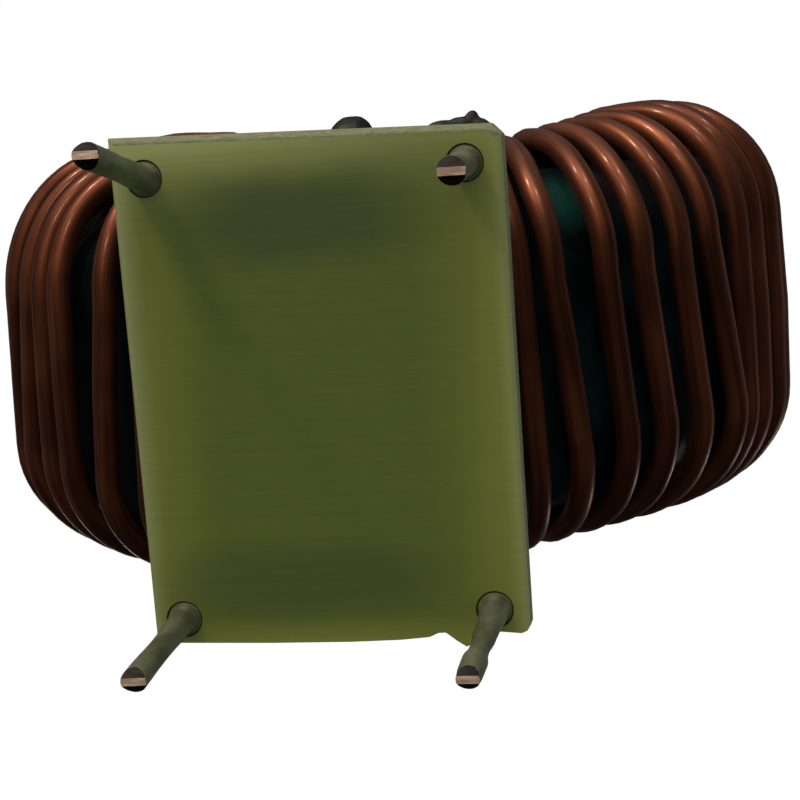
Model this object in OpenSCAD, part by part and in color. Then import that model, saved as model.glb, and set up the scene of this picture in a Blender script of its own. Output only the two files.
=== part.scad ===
// Toroidal power inductor on a drilled base plate.
// The part stands on the plate: z = 0 is the plate's underside and the pins point down.
// The ring stands upright on the plate, with its axis along the plate's long side (Y).
// Two strands are wound side by side, and all four of their ends are pins.

/* [Base plate] */
// Width of the plate, across the ring
plate_w = 18.3; // [18:0.1:20]
// Reach of the plate in front of the middle of its holes, on the plate's middle line
plate_front = 12.33; // [12:0.01:13]
// Reach of the plate behind the middle of its holes
plate_back = 11.9; // [11.6:0.1:13]
// Thickness of the plate
plate_t = 1.6; // [1.2:0.1:1.8]
// How much longer the plate's left side is, because its front end is cut out of square
plate_skew = 0.55; // [0:0.01:0.8]
// Width of the bevel that the scored board leaves along three edges
score_bevel = 0.4; // [0.2:0.05:0.5]
// Size of the clip off the plate's front right corner
corner_clip = 0.5; // [0.1:0.1:0.8]
// Pin spacing across the plate
grid_w = 15; // [14.8:0.1:15.2]
// Pin spacing along the plate
grid_l = 21; // [20.8:0.1:21.2]
// Diameter of the four holes
hole_d = 1.76; // [1.76:0.01:1.9]

/* [Core] */
// Outer diameter of the coated ring
core_od = 42.7; // [42.5:0.1:42.7]
// Bore diameter of the coated ring
core_id = 24; // [24:0.1:24.3]
// Height of the coated ring along its axis
core_h = 17.4; // [17:0.1:17.4]
// Radius of the ring's outer edges
core_outer_edge = 4.1; // [3.9:0.1:4.2]
// Radius of the ring's inner edges
core_inner_edge = 3.9; // [3.8:0.1:4.2]
// Turn of the ring on the plate, about the vertical
ring_turn = -2.4; // [-3:0.1:-2]
// Height of the ring's centre above the plate's underside
ring_z = 24.66; // [24.6:0.01:25]
// Offset of the ring's centre across the plate
ring_x = -0.28; // [-0.4:0.01:0.2]
// Offset of the ring's centre along the plate
ring_y = -0.7; // [-0.8:0.01:-0.6]

/* [Winding] */
// Diameter of the enamelled wire
wire_d = 1.26; // [1.2:0.01:1.26]
// Turns in each of the two strands
turns = 26; // [25:1:26]
// Angle on the ring from the plate to the middle of the first pair of wires
first_pair = 15.4; // [15.2:0.1:15.6]
// Angle between the two wires of a pair on the rim
pair_gap = 5.4; // [5:0.1:5.6]
// How far the front of the winding swells at its two loosest places, as a share of its depth
bulge = 0.09; // [0:0.01:0.12]

/* [Pins] */
// Length of the pins below the plate's underside
pin_l = 9.48; // [6:0.01:12]
// Width of the flat left by the cutting pliers on a pin's tip
tip_flat = 0.35; // [0.2:0.05:0.5]
// Height of the slopes beside that flat
tip_slope = 0.42; // [0.3:0.01:0.6]

/* [Glue] */
// Radius of the glue beads between the plate and the ring
bead_r = 1.9; // [1.7:0.05:1.9]

/* [Hidden] */

core_r = core_od / 2;
bore_r = core_id / 2;
core_half = core_h / 2;

// The wire's middle line round the ring's section: rim, outer corners, faces, inner corners, bore.
wire_r = wire_d / 2;
// The wire bows off the rim, and lies looser over the front than over the back.
rim_stand = 0.45;
front_stand = 0.96;
back_stand = 0.6;
rim_r = core_r + wire_r + rim_stand;
face_front = core_half + wire_r + front_stand;
face_back = core_half + wire_r + back_stand;
bend_front = 5.3;
bend_back = 4.9;
inner_r = bore_r - wire_r - 0.05;
inner_bend = 3.6;

// One turn of both strands takes an equal share of the ring, and leaves the gap at the plate.
pitch = 13.17;
// Places on the flat of a face where a straight wire leaves the outer corner and meets the inner one
face_out = 20.8;
face_in = 12.35;
face_mid = 16;

// Wires on the rim are numbered from the first one: even ones are strand 0, odd ones strand 1.
// The hand-laid wires stray from their even places by these angles.
first_stray = [0, 0, 0, 2.3, 4.4, 4.5, 3.9, 9.2, 4.9, 3, 1];
first_lean = [3, 3, 3, 3.8, 1.5, 2.2, 6, 8, 8, 8, 7];
last_stray = [0, 0, 0.7, 0.7, 1.2, 0.5, 1.3, -0.8, 1, 0.9, -0.6];
last_lean = [1.7, 1.2, -0.5, -2.6, -2.4, -3.2, -3, -5, -0.1, 0, 0];
rim_wires = 2 * turns;

// Swells of the hand-laid winding round the ring, each one [angle, spread, amount].
// A swell at the plate has a twin at 360.
// Added to the radius of the outer bends, in mm
front_bend_swells = [[45, 35, 1.26], [325, 25, 1.6]];
back_bend_swells = [[60, 35, 1.15], [318, 25, 0.61], [0, 30, -3.43], [360, 30, -3.43]];
// Added to the depth, as a share of the bulge at the front and of the depth at the back
front_swells = [[62, 28, 1.72], [285, 18, 1], [305, 12, 0.12], [338, 14, -0.61]];
back_swells = [[60, 30, -0.02], [285, 25, -0.03], [322, 20, -0.02]];
// Added to the rim's radius towards the front and towards the back, in mm
front_lifts = [[20, 18, -0.23], [70, 30, -0.6], [285, 22, 0.03], [325, 18, 1.47]];
back_lifts = [[88, 28, 0.85], [278, 25, -0.57], [325, 18, -0.57]];

// Sections of the swept wire: an octagon of the same area as the round wire
sides = 8;
section_r = wire_r * sqrt(PI / (2 * sqrt(2)));

// Lump of glue that stands out of the front
lump = [1.4, -11.75, 4.2];
lump_r = 1.35;

// How far each hole is drilled off the grid, by hand
drift_front_left = [-0.33, -0.1];
drift_front_right = [-0.14, 0.16];
drift_back_right = [0, 0.05];
drift_back_left = [-0.12, 0.12];

// How far each pin's tip lies from its hole's centre
lean_front_left = [0.48, -1.07];
lean_front_right = [0.61, 0.35];
lean_back_right = [-0.16, 0.62];
lean_back_left = [0.37, 0.35];
pin_top = 2;
// Height at which a leaning pin crosses the middle of its hole
pin_mid = -0.2;

// Tin that fills each hole round its pin: its radius, ends and the slope of its lower edge
tin_r = 0.76;
tin_foot = -0.25;
tin_top = 1.55;
tin_edge = 0.1;

// Hand-bent routes of the wire from the top of each pin to the winding
route_front_left = [
    [-8.0, -11.1, 2.95], [-7.75, -11.85, 3.75], [-6.9, -12.12, 4.3], [-5.5, -12.08, 4.55],
    [-4.75, -11.4, 4.7], [-4.6, -10.3, 4.6]
];
route_front_right = [
    [2.15, -11.3, 11.4], [2.4, -11.25, 8.6], [3.2, -11.4, 6], [4.7, -11.35, 4.3], [6.2, -10.9, 3.3],
    [7.05, -10.5, 2.75]
];
route_back_left = [
    [-7.2, 10.5, 2.8], [-6.3, 10.4, 3.4], [-4.7, 10.2, 4], [-3.2, 9.9, 5.8], [-2.7, 9.65, 8.4]
];
route_back_right = [
    [4.55, 6.8, 3.2], [5.3, 8.4, 3.2], [6.6, 9.9, 3.1], [7.35, 10.5, 2.7]
];

// ---- The winding's path ----

// A point given as [radius, depth, angle from the plate] on the ring, in the part's frame
function on_ring(p) =
    let (x = -p[0] * sin(p[2]), y = p[1])
    [
        x * cos(ring_turn) - y * sin(ring_turn) + ring_x,
        x * sin(ring_turn) + y * cos(ring_turn) + ring_y,
        ring_z - p[0] * cos(p[2])
    ];

// Direction along the rim at an angle from the plate
function along_rim(u) =
    [-cos(u) * cos(ring_turn), -cos(u) * sin(ring_turn), sin(u)];

// Entry of a list of strays or leans, or a default where the list has none
function listed(list, i, other) = i >= 0 && i < len(list) ? list[i] : other;

function even_angle(w) =
    first_pair + floor(w / 2) * pitch + (w % 2 == 0 ? -0.5 : 0.5) * pair_gap;

function rim_angle(w) =
    even_angle(w) + listed(first_stray, w, listed(last_stray, rim_wires - 1 - w, 0));

function rim_lean(w) =
    listed(first_lean, w, listed(last_lean, rim_wires - 1 - w, 2.5 + 3.5 * sin(rim_angle(w))));

function front_angle(w) = rim_angle(w) - rim_lean(w) / 2;

function back_angle(w) = rim_angle(w) + rim_lean(w) / 2;

// Bore wires lie side by side at half the pitch
function bore_angle(w) = first_pair + pitch * (w / 2 + 0.25);

// A share that is 1 at an angle and fades away on both sides of it
function near(u, at, spread) = exp(-pow((u - at) / spread, 2));

function face_y(side) = side < 0 ? face_front : face_back;

// Sum of a list of swells at an angle
function swelling(swells, u) =
    [for (s = swells) s[2] * near(u, s[0], s[1])] * [for (s = swells) 1];

function outer_bend(side, u) =
    side < 0
        ? bend_front + swelling(front_bend_swells, u)
        : bend_back + swelling(back_bend_swells, u);

function outer_corner(side, a, u) =
    let (bend = outer_bend(side, u))
    [rim_r - bend * (1 - cos(a)), face_y(side) - bend * (1 - sin(a))];

function inner_corner(side, a) =
    [inner_r + inner_bend * (1 - sin(a)), face_y(side) - inner_bend * (1 - cos(a))];

// Stations over one face, from the rim to the bore
function face_stations(side, u) = [
    outer_corner(side, 30, u), outer_corner(side, 60, u), [face_mid, face_y(side)],
    inner_corner(side, 45), inner_corner(side, 90)
];

// Share of the way from the rim's angle to the bore's angle at a radius, for a straight wire
function face_share(r) =
    min(1, max(0, 1 - (r - face_in) / (face_out - face_in) * face_out / r));

function looseness(side, u) =
    1 + (side < 0 ? bulge * swelling(front_swells, u) : swelling(back_swells, u));

// How far the outer part of a wire stands off its even radius at a depth
function rim_lift(y, u) =
    y < 0
        ? -y / face_front * swelling(front_lifts, u)
        : y / face_back * swelling(back_lifts, u);

// A station is [radius, depth, angle].
function station(rz, side, u) =
    let (
        y = side * rz[1] * looseness(side, u),
        outer = min(1, max(0, (rz[0] - face_mid) / (rim_r - face_mid)))
    )
    [rz[0] + outer * rim_lift(y, u), y, u];

function over_face(side, rim_u, bore_u) = [
    for (rz = face_stations(side, rim_u))
        station(rz, side, rim_u + (bore_u - rim_u) * face_share(rz[0]))
];

function reversed(list) = [for (i = [len(list) - 1:-1:0]) list[i]];

function rim_run(w) = [
    station(outer_corner(-1, 0, front_angle(w)), -1, front_angle(w)),
    station([rim_r, 0], -1, rim_angle(w)),
    station(outer_corner(1, 0, back_angle(w)), 1, back_angle(w))
];

// A full turn from one rim wire of a strand to the front corner of the strand's next one
function full_turn(w) = concat(
    rim_run(w),
    over_face(1, back_angle(w), bore_angle(w)),
    reversed(over_face(-1, front_angle(w + 2), bore_angle(w)))
);

function strand_turns(first, last) = [for (w = [first:2:last], p = full_turn(w)) p];

function placed(stations) = [for (s = stations) [on_ring(s), along_rim(s[2])]];

function lead(points) = [for (p = points) [p, [1, 0, 0]]];

// Point on a pin's middle line at a height
function pin_point(hole, tip, z) =
    let (t = (pin_mid - z) / (pin_mid + pin_l))
    [hole[0] + tip[0] * t, hole[1] + tip[1] * t, z];

function pin_start(hole, tip) = [for (z = [pin_top, pin_top + 0.35]) pin_point(hole, tip, z)];

hole_front_left = [-grid_w / 2, -grid_l / 2] + drift_front_left;
hole_front_right = [grid_w / 2, -grid_l / 2] + drift_front_right;
hole_back_right = [grid_w / 2, grid_l / 2] + drift_back_right;
hole_back_left = [-grid_w / 2, grid_l / 2] + drift_back_left;

// Strand 0 starts on the rim at the front left and ends from the bore at the front right.
last_even = rim_wires - 2;
path_a = concat(
    lead(pin_start(hole_front_left, lean_front_left)),
    lead(route_front_left),
    placed([station(outer_corner(-1, 40, front_angle(0)), -1, front_angle(0))]),
    placed(strand_turns(0, last_even - 2)),
    placed(rim_run(last_even)),
    placed(over_face(1, back_angle(last_even), bore_angle(last_even))),
    placed([
        station(inner_corner(-1, 90), -1, bore_angle(last_even)),
        station(inner_corner(-1, 45), -1, bore_angle(last_even) + 1.5)
    ]),
    lead(route_front_right),
    lead(reversed(pin_start(hole_front_right, lean_front_right)))
);

// Strand 1 starts into the bore at the back left and ends off the rim at the back right.
last_odd = rim_wires - 1;
path_b = concat(
    lead(pin_start(hole_back_left, lean_back_left)),
    lead(route_back_left),
    placed([
        station(inner_corner(1, 45), 1, bore_angle(-1) - 1.5),
        station(inner_corner(1, 90), 1, bore_angle(-1))
    ]),
    placed(reversed(over_face(-1, front_angle(1), bore_angle(-1)))),
    placed(strand_turns(1, last_odd - 2)),
    placed(rim_run(last_odd)),
    lead(route_back_right),
    lead(reversed(pin_start(hole_back_right, lean_back_right)))
);

// ---- Sweeping ----

function unit(v) = v / norm(v);

// Ring of section points at place i of a path of [point, sideways] pairs
function section_at(path, i) =
    let (
        before = path[max(0, i - 1)][0],
        after = path[min(len(path) - 1, i + 1)][0],
        t = unit(after - before),
        side = path[i][1],
        b = unit(side - (side * t) * t),
        n = cross(t, b)
    )
    [
        for (k = [0:sides - 1])
            let (a = 360 * (k + 0.5) / sides)
            path[i][0] + section_r * (cos(a) * b + sin(a) * n)
    ];

module swept_wire(path) {
    rings = len(path);
    points = [for (i = [0:rings - 1], p = section_at(path, i)) p];
    walls = [
        for (i = [0:rings - 2], k = [0:sides - 1])
            let (
                a = i * sides + k,
                b = i * sides + (k + 1) % sides
            )
            each [[a, a + sides, b + sides], [a, b + sides, b]]
    ];
    start_cap = [for (k = [0:sides - 1]) k];
    end_cap = [for (k = [sides - 1:-1:0]) (rings - 1) * sides + k];
    polyhedron(points, concat(walls, [start_cap, end_cap]));
}

// ---- Solids ----

// Puts something modelled about the Z axis into the ring's place
module in_ring_place() {
    translate([ring_x, ring_y, ring_z])
        rotate([0, 0, ring_turn])
            rotate([90, 0, 0])
                children();
}

module edge_rounds(r, edge) {
    for (side = [-1, 1])
        translate([r, side * (core_half - edge)])
            circle(edge, $fn = 64);
}

module core_profile() {
    outer_c = core_r - core_outer_edge;
    inner_c = bore_r + core_inner_edge;
    edge_rounds(outer_c, core_outer_edge);
    edge_rounds(inner_c, core_inner_edge);
    translate([inner_c, -core_half])
        square([outer_c - inner_c, core_h]);
    translate([outer_c, core_outer_edge - core_half])
        square([core_outer_edge, core_h - 2 * core_outer_edge]);
    translate([bore_r, core_inner_edge - core_half])
        square([core_inner_edge, core_h - 2 * core_inner_edge]);
}

module core_solid() {
    in_ring_place()
        rotate_extrude($fn = 120)
            core_profile();
}

module core() {
    color([0.04, 0.2, 0.16]) core_solid();
}

module winding_a() {
    color([0.4, 0.2, 0.12]) swept_wire(path_a);
}

module winding_b() {
    color([0.4, 0.2, 0.12]) swept_wire(path_b);
}

front_tilt = atan2(plate_skew, plate_w);

module plate_outline() {
    half_w = plate_w / 2;
    front_left = -plate_front - plate_skew / 2;
    front_right = -plate_front + plate_skew / 2;
    polygon([
        [-half_w, front_left],
        [half_w - corner_clip, front_right],
        [half_w, front_right + corner_clip],
        [half_w, plate_back],
        [-half_w, plate_back]
    ]);
}

// Wedges that bevel both edges of a side face, for a side that runs along Y at x = 0
module score_cut() {
    long = 3 * plate_front;
    for (z = [0, plate_t])
        translate([0, 0, z])
            rotate([0, 45, 0])
                cube([score_bevel * sqrt(2), long, score_bevel * sqrt(2)], center = true);
}

module base_plate() {
    color([0.45, 0.5, 0.25])
        difference() {
            linear_extrude(plate_t)
                plate_outline();
            for (hole = [hole_front_left, hole_front_right, hole_back_right, hole_back_left])
                translate([hole[0], hole[1], -1])
                    cylinder(d = hole_d, h = plate_t + 2, $fn = 48);
            for (x = [-plate_w / 2, plate_w / 2])
                translate([x, 0, 0])
                    score_cut();
            translate([0, -plate_front, 0])
                rotate([0, 0, 90 + front_tilt])
                    score_cut();
        }
}

// A pin from above its hole down to a tip pinched off from both sides
module leaning_pin(tip) {
    drop = pin_mid + pin_l;
    leaning = atan2(norm(tip), drop);
    towards = atan2(tip[1], tip[0]);
    full = drop / cos(leaning);
    stub = (pin_top - pin_mid) / cos(leaning);
    slope = atan2(tip_slope, wire_r - tip_flat / 2);
    rotate([0, 0, towards])
        rotate([0, -leaning, 0])
            rotate([0, 0, -towards])
                difference() {
                    translate([0, 0, -full])
                        cylinder(d = wire_d, h = full + stub, $fn = 48);
                    for (side = [-1, 1])
                        translate([-2, side * tip_flat / 2, -full])
                            rotate([side * slope, 0, 0])
                                translate([0, side > 0 ? 0 : -3, -3])
                                    cube([4, 3, 3]);
                }
}

module tin_filling() {
    translate([0, 0, tin_foot])
        cylinder(r1 = tin_r - tin_edge, r2 = tin_r, h = tin_edge, $fn = 48);
    translate([0, 0, tin_foot + tin_edge])
        cylinder(r = tin_r, h = tin_top - tin_foot - tin_edge, $fn = 48);
}

module pin(hole, tip) {
    color([0.62, 0.64, 0.62])
        translate([hole[0], hole[1], 0]) {
            translate([0, 0, pin_mid])
                leaning_pin(tip);
            tin_filling();
        }
}

module pin_front_left() {
    pin(hole_front_left, lean_front_left);
}

module pin_front_right() {
    pin(hole_front_right, lean_front_right);
}

module pin_back_right() {
    pin(hole_back_right, lean_back_right);
}

module pin_back_left() {
    pin(hole_back_left, lean_back_left);
}

// A bead of glue lying along X, flat where it wets the plate
module bead(x0, x1, y, z, r) {
    intersection() {
        union() {
            translate([x0, y, z])
                rotate([0, 90, 0])
                    cylinder(r = r, h = x1 - x0, $fn = 48);
            for (x = [x0, x1])
                translate([x, y, z])
                    sphere(r, $fn = 48);
        }
        translate([x0 - 2 * r, y - 2 * r, plate_t])
            cube([x1 - x0 + 4 * r, 4 * r, 6 * r]);
    }
}

module glue_front() {
    color([0.06, 0.07, 0.08])
        difference() {
            union() {
                bead(-1.6, 1, -8.6, 3.2, bead_r);
                translate(lump)
                    sphere(lump_r, $fn = 48);
                translate(lump)
                    rotate([-90, 0, 0])
                        cylinder(r = lump_r, h = 3, $fn = 48);
            }
            core_solid();
        }
}

module glue_back() {
    color([0.06, 0.07, 0.08])
        difference() {
            bead(-2.2, 1.1, 8.5, 3.1, bead_r);
            core_solid();
        }
}

module glue_corner() {
    color([0.06, 0.07, 0.08])
        bead(6.3, 8, -12, 2.05, 0.55);
}

core();
winding_a();
winding_b();
base_plate();
pin_front_left();
pin_front_right();
pin_back_right();
pin_back_left();
glue_front();
glue_back();
glue_corner();
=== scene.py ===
"""Looks of the toroidal inductor: its wire, board, pins, glue and core, and the studio round them.

Sizes are in millimetres and angles in degrees while a piece is shaped. It is put in metres, in the
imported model's own frame, when it is finished.
"""
import logging
import math
from dataclasses import dataclass, field
from enum import Enum, IntEnum
from typing import Callable, Sequence

import bmesh
import bpy
from mathutils import Matrix, Quaternion, Vector, noise


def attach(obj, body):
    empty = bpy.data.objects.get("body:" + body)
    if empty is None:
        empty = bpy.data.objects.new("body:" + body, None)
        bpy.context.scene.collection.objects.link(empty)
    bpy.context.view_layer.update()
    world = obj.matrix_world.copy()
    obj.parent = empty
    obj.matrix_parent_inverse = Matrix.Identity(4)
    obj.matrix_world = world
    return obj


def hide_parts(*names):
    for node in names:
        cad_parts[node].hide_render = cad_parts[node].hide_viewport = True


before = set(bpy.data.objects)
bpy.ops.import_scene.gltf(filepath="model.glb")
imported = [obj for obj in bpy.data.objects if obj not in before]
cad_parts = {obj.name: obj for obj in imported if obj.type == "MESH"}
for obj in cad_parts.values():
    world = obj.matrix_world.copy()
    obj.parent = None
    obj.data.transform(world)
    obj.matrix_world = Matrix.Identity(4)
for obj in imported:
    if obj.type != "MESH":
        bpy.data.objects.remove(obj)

log = logging.getLogger("inductor")

MM = 0.001
BODY = "root"
# Lengths that differ by less than this count as equal
NEAR = 0.01

Socket = bpy.types.NodeSocket
Colour = tuple[float, float, float]
Point = tuple[float, float, float]
Value = Socket | float | Colour
Swell = tuple[float, float, float]
Sky = tuple[str, float, float, float]

WHITE: Colour = (1.0, 1.0, 1.0)
WARM: Colour = (1.0, 0.79, 0.57)


class Side(Enum):
    """The two faces of the wound ring, by the sign of their depth."""

    FRONT = -1
    BACK = 1


class Slot(Enum):
    """The record's material slots."""

    CORE = "core_coating"
    WIRE = "enamelled_copper"
    BOARD = "board"
    TIN = "tinned_wire"
    GLUE = "black_glue"


class Element(Enum):
    """What is picked in edit mode, by the name of the mesh's list of it."""

    FACE = "faces"
    EDGE = "edges"
    VERT = "verts"


# Shaping helpers


def deselect() -> None:
    """Leaves nothing selected, so that the next operator meets only its own piece."""
    bpy.ops.object.select_all(action="DESELECT")


def focus(piece: bpy.types.Object) -> None:
    """Makes a piece the only one selected, and the active one.

    Args:
        piece: The object that the next operators work on.
    """
    deselect()
    piece.select_set(True)
    bpy.context.view_layer.objects.active = piece


def apply_modifier(piece: bpy.types.Object, kind: str, **settings: object) -> None:
    """Adds one modifier to a piece and applies it.

    Args:
        piece: The object to change.
        kind: Blender's name for the type of modifier.
        **settings: The modifier's own settings.
    """
    focus(piece)
    modifier = piece.modifiers.new(kind.title(), kind)
    for name, value in settings.items():
        setattr(modifier, name, value)
    bpy.ops.object.modifier_apply(modifier=modifier.name)


def pick(piece: bpy.types.Object, element: Element, rule: Callable[..., bool]) -> None:
    """Selects the elements of the piece in edit mode that a rule names, and no others.

    Args:
        piece: The object in edit mode.
        element: The kind that is picked.
        rule: Says whether one is picked, from an edge's two ends, or from a face or corner itself.
    """
    bpy.ops.mesh.select_mode(type=element.name)
    bpy.ops.mesh.select_all(action="DESELECT")
    mesh = bmesh.from_edit_mesh(piece.data)
    for item in getattr(mesh, element.value):
        seen = [end.co for end in item.verts] if element is Element.EDGE else [item]
        item.select_set(rule(*seen))
    bmesh.update_edit_mesh(piece.data)


def settle(
    piece: bpy.types.Object, materials: Sequence[bpy.types.Material], node: str
) -> None:
    """Puts a finished piece in metres at the origin, dresses it and hangs it on the model.

    Args:
        piece: The object, shaped in millimetres in its own place.
        materials: Its materials, in the order of the faces' material numbers.
        node: The node that it stands for.
    """
    focus(piece)
    bpy.ops.object.transform_apply(location=True, rotation=True, scale=True)
    piece.data.transform(Matrix.Scale(MM, 4))
    for material in materials:
        piece.data.materials.append(material)
    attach(piece, BODY)
    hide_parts(node)
    log.info("%s: %d faces", piece.name, len(piece.data.polygons))


# Shader helpers


class Nodes:
    """The shader nodes of one material or world."""

    def __init__(self, owner: bpy.types.Material | bpy.types.World, surface: str) -> None:
        """Turns the owner's nodes on.

        Args:
            owner: The material or world.
            surface: The name of the node that gives its look.
        """
        owner.use_nodes = True
        self.owner = owner
        self.tree = owner.node_tree
        self.surface = self.tree.nodes[surface]

    def put(self, target: Socket, value: Value) -> None:
        """Links or sets one input, whichever the value asks for.

        Args:
            target: The input.
            value: An output, a number, a point or a colour.
        """
        if isinstance(value, bpy.types.NodeSocket):
            self.tree.links.new(value, target)
        else:
            target.default_value = (*value, 1.0) if target.type == "RGBA" else value

    def add(
        self, kind: str, inputs: dict[int | str, Value] | None = None, **settings: object
    ) -> bpy.types.Node:
        """Adds one node.

        Args:
            kind: Its type, without the word that all types start with.
            inputs: What goes into it, by a socket's name or place.
            **settings: The node's own settings.

        Returns:
            The node.
        """
        node = self.tree.nodes.new(f"ShaderNode{kind}")
        for name, value in settings.items():
            setattr(node, name, value)
        for name, value in (inputs or {}).items():
            self.put(node.inputs[name], value)
        return node

    def set(self, **values: float) -> None:
        """Sets numbers on the surface, with underscores for the spaces of a socket's name."""
        for name, value in values.items():
            self.surface.inputs[name.replace("_", " ")].default_value = value

    def join(self, source: Value, socket: str) -> None:
        """Links or sets one of the surface's inputs."""
        self.put(self.surface.inputs[socket], source)

    def sum(self, kind: str, *terms: Socket | float, clamp: bool = False) -> Socket:
        """A Math node's output, from its operation, its inputs and whether it stays from 0 to 1."""
        return self.add("Math", dict(enumerate(terms)), operation=kind, use_clamp=clamp).outputs[0]

    def ramp(self, source: Socket, low: float, high: float, top: float = 1.0) -> Socket:
        """A soft step from 0 at the low value to the top at the high one."""
        inputs = {"Value": source, "From Min": low, "From Max": high, "To Max": top}
        return self.add("MapRange", inputs, interpolation_type="SMOOTHSTEP").outputs["Result"]


class Graph(Nodes):
    """One material that is put together node by node, with its pattern in millimetres."""

    def __init__(self, name: str) -> None:
        """Starts a material with a principled surface.

        Args:
            name: The material's name.
        """
        super().__init__(bpy.data.materials.new(name), "Principled BSDF")
        metres = self.add("TexCoord").outputs["Object"]
        self.place = self.scaled(metres, 1 / MM)

    def scaled(self, source: Socket, factor: Socket | float) -> Socket:
        """A point or colour times a number."""
        return self.add("VectorMath", {0: source, "Scale": factor}, operation="SCALE").outputs[0]

    def stretched(self, scale: Point) -> Socket:
        """The place on the piece, with each axis scaled by its own factor."""
        return self.add("VectorMath", {0: self.place, 1: scale}, operation="MULTIPLY").outputs[0]

    def distance(self, centre: Point) -> Socket:
        """How far a place is from a point, in millimetres."""
        node = self.add("VectorMath", {0: self.place, 1: centre}, operation="DISTANCE")
        return node.outputs["Value"]

    def part(self, axis: str) -> Socket:
        """One coordinate of the place on the piece, in millimetres."""
        return self.add("SeparateXYZ", {0: self.place}).outputs[axis]

    def drawn(self, length: float, across: float, along: float) -> Socket:
        """Coordinates that wrap round a wire and run slowly along it, for marks drawn lengthwise.

        Args:
            length: The wire's length in millimetres.
            across: How fast they change round the wire.
            along: How fast they change along it, for a millimetre.

        Returns:
            The coordinates.
        """
        split = self.add("SeparateXYZ", {0: self.add("UVMap").outputs[0]})
        turned = self.sum("MULTIPLY", split.outputs["Y"], 2 * math.pi)
        parts = {
            "X": self.sum("MULTIPLY", self.sum("COSINE", turned), across),
            "Y": self.sum("MULTIPLY", self.sum("SINE", turned), across),
            "Z": self.sum("MULTIPLY", split.outputs["X"], length * along),
        }
        return self.add("CombineXYZ", parts).outputs[0]

    def noise(
        self, scale: float, detail: float, at: Socket | None = None, rough: float = 0.5
    ) -> Socket:
        """Smooth noise from 0 to 1.

        Args:
            scale: How many lumps fit in a millimetre.
            detail: How many finer layers are added.
            at: Where it is read, or the plain place on the piece.
            rough: How strong the finer layers are.

        Returns:
            The noise's value.
        """
        inputs = {"Scale": scale, "Detail": detail, "Roughness": rough, "Vector": at or self.place}
        return self.add("TexNoise", inputs).outputs["Fac"]

    def blend(self, share: Value, first: Socket | Colour, second: Socket | Colour) -> Socket:
        """A mix of two colours, all the first one at a share of 0 and all the second one at 1."""
        return self.add("Mix", {"Factor": share, 6: first, 7: second}, data_type="RGBA").outputs[2]

    def bump(self, height: Socket, depth: float, under: Socket | None = None) -> Socket:
        """A bumped normal.

        Args:
            height: The pattern, where 1 is high.
            depth: How high 1 stands, in millimetres.
            under: Another bumped normal that this one lies on.

        Returns:
            The normal.
        """
        node = self.add("Bump", {"Distance": depth * MM, "Height": height})
        if under is not None:
            self.put(node.inputs["Normal"], under)
        return node.outputs[0]


# Finishes


@dataclass(frozen=True)
class Enamel:
    """Clear brown enamel over drawn copper wire."""

    shade: Colour = (0.135, 0.042, 0.021)
    lit: Colour = (0.215, 0.07, 0.032)
    dull: Colour = (0.045, 0.0155, 0.011)
    strand_length: float = 1650.0

    def make(self) -> bpy.types.Material:
        """Makes the material, with tones drawn out along the wire and a glossy coat.

        Returns:
            The material.
        """
        graph = Graph("enamelled_copper")
        broad = graph.ramp(graph.noise(0.2, 2.0), 0.36, 0.66)
        marks = graph.noise(1.0, 3.0, graph.drawn(self.strand_length, 1.6, 0.06))
        streak = graph.ramp(marks, 0.42, 0.68)
        tone = graph.blend(broad, self.shade, self.lit)
        graph.join(graph.blend(graph.sum("MULTIPLY", streak, 0.7), tone, self.dull), "Base Color")
        graph.set(Metallic=0.95, Coat_Weight=0.2, Coat_Roughness=0.16, Coat_IOR=1.5)
        wear = graph.noise(1.4, 3.0)
        graph.join(graph.sum("MULTIPLY_ADD", wear, 0.1, 0.43), "Roughness")
        graph.join(graph.bump(graph.noise(2.0, 1.0), 0.004), "Normal")
        graph.join(graph.bump(graph.noise(0.7, 0.0), 0.004), "Coat Normal")
        return graph.owner


@dataclass(frozen=True)
class Coating:
    """Dark green baked epoxy of the core."""

    deep: Colour = (0.0003, 0.0012, 0.0016)
    bright: Colour = (0.0008, 0.008, 0.0085)
    green: Colour = (0.003, 0.034, 0.025)
    highlight_at: Point = (11.2, -8.3, 7.9)

    def make(self) -> bpy.types.Material:
        """Makes the material, satin with a slight orange peel, with painted shade towards the left
        and a painted green highlight near the board.

        Returns:
            The material.
        """
        graph = Graph("core_coating")
        # Painted shade: side scales the cloud, so the coating is painted nearer deep towards the
        # left (-X).
        side = graph.sum("MULTIPLY_ADD", graph.ramp(graph.part("X"), -14.0, 2.0), 0.85, 0.15)
        cloud = graph.sum("MULTIPLY", graph.ramp(graph.noise(0.35, 3.0), 0.3, 0.7), side)
        # Painted highlight: thick is 1 in a soft green patch painted where light falls on the
        # core's front rounded edge near the board; thin is 1 outside it.
        away = graph.ramp(graph.distance(self.highlight_at), 0.2, 2.7)
        thin = graph.sum("MULTIPLY_ADD", graph.noise(1.1, 3.0), 0.3, away)
        thick = graph.sum("SUBTRACT", 1.0, thin, clamp=True)
        tone = graph.blend(cloud, self.deep, self.bright)
        graph.join(graph.blend(thick, tone, self.green), "Base Color")
        graph.set(Roughness=0.4, Specular_IOR_Level=0.13, Coat_Weight=0.05, Coat_Roughness=0.15)
        peel = graph.bump(graph.noise(1.6, 1.0), 0.06)
        graph.join(graph.bump(graph.noise(7.0, 2.0), 0.01, peel), "Normal")
        return graph.owner


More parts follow.
